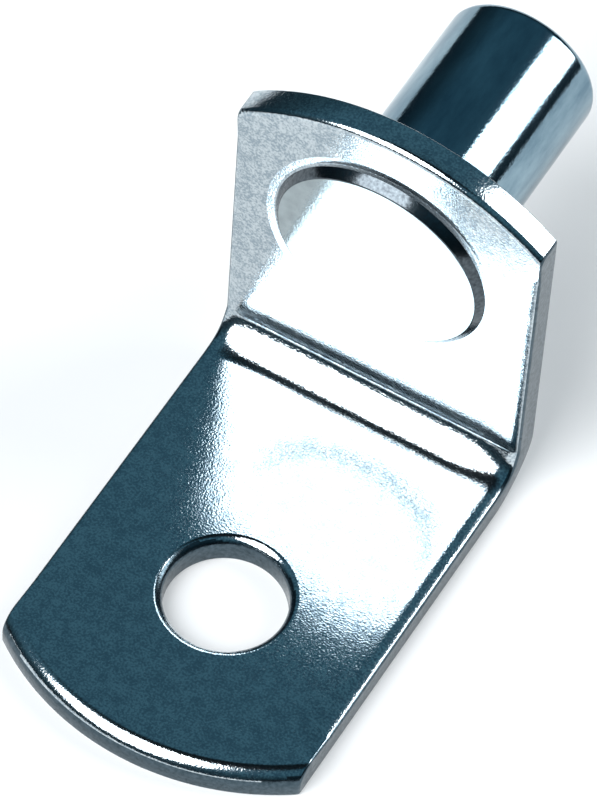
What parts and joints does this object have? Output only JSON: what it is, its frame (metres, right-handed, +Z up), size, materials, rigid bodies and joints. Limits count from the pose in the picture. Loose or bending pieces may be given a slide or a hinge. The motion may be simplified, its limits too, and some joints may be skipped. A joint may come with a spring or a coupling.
{
  "type": "shelf support pin",
  "caption": "L-shaped plated steel shelf support: a tab with a screw hole, bent up to a flange that carries a riveted round pin.",
  "frame": {"origin": "on the pin's axis, at the flange's back face, where the pin leaves the plate and the cabinet's side begins", "axes": "+Y out along the pin into the cabinet's side, +Z up from the tab towards the flange's top, X across the plate"},
  "size_m": [0.0126, 0.0286, 0.0166],
  "materials": {
    "plated_sheet": "bright zinc-nickel plating over stamped sheet, fine satin grain",
    "plated_pin": "bright zinc-nickel plating, smoother than the sheet"
  },
  "bodies": {
    "root": {"bracket": "plated_sheet", "pin": "plated_pin"}
  },
  "joints": []
}
